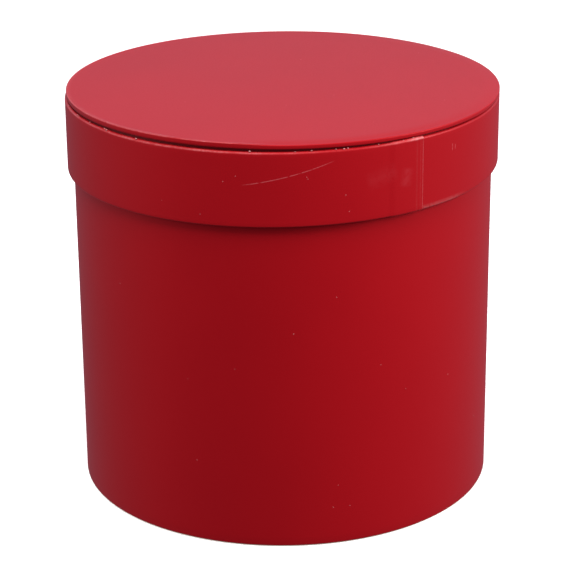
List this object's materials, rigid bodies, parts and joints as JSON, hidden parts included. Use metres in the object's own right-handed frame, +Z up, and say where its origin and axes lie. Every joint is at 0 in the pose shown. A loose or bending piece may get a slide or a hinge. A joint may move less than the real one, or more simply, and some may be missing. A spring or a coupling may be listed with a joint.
{
  "type": "flower box",
  "caption": "Round straight-sided box for cut flowers, of paper-covered greyboard, with a deep lift-off lid whose disc lies on the band's rim.",
  "frame": {"origin": "centre of the underside, on the plane the box stands on", "axes": "+Z up along the drum's axis, -Y the front, +X to the right seen from the front"},
  "size_m": [0.2, 0.2, 0.189],
  "materials": {
    "red_paper": "matt-laminated covering paper, satin sheen",
    "greyboard": "raw recycled greyboard",
    "lining_paper": "uncoated pale lining paper",
    "dried_glue": "dried clear glue, slightly cloudy"
  },
  "bodies": {
    "box_body": {"wall_board": "greyboard", "wall_wrap": "red_paper", "wall_liner": "lining_paper", "base_board": "greyboard", "base_cover": "red_paper", "base_liner": "lining_paper"},
    "lid": {"lid_band_board": "greyboard", "lid_band_wrap": "red_paper", "lid_band_liner": "lining_paper", "lid_disc_board": "greyboard", "lid_disc_wrap": "red_paper", "lid_disc_liner": "lining_paper", "lid_glue": "dried_glue"}
  },
  "joints": [
    {"name": "lid_lift", "type": "slide", "parent": "box_body", "child": "lid", "axis": [0, 0, 1], "range_m": [0, 0.25]}
  ]
}
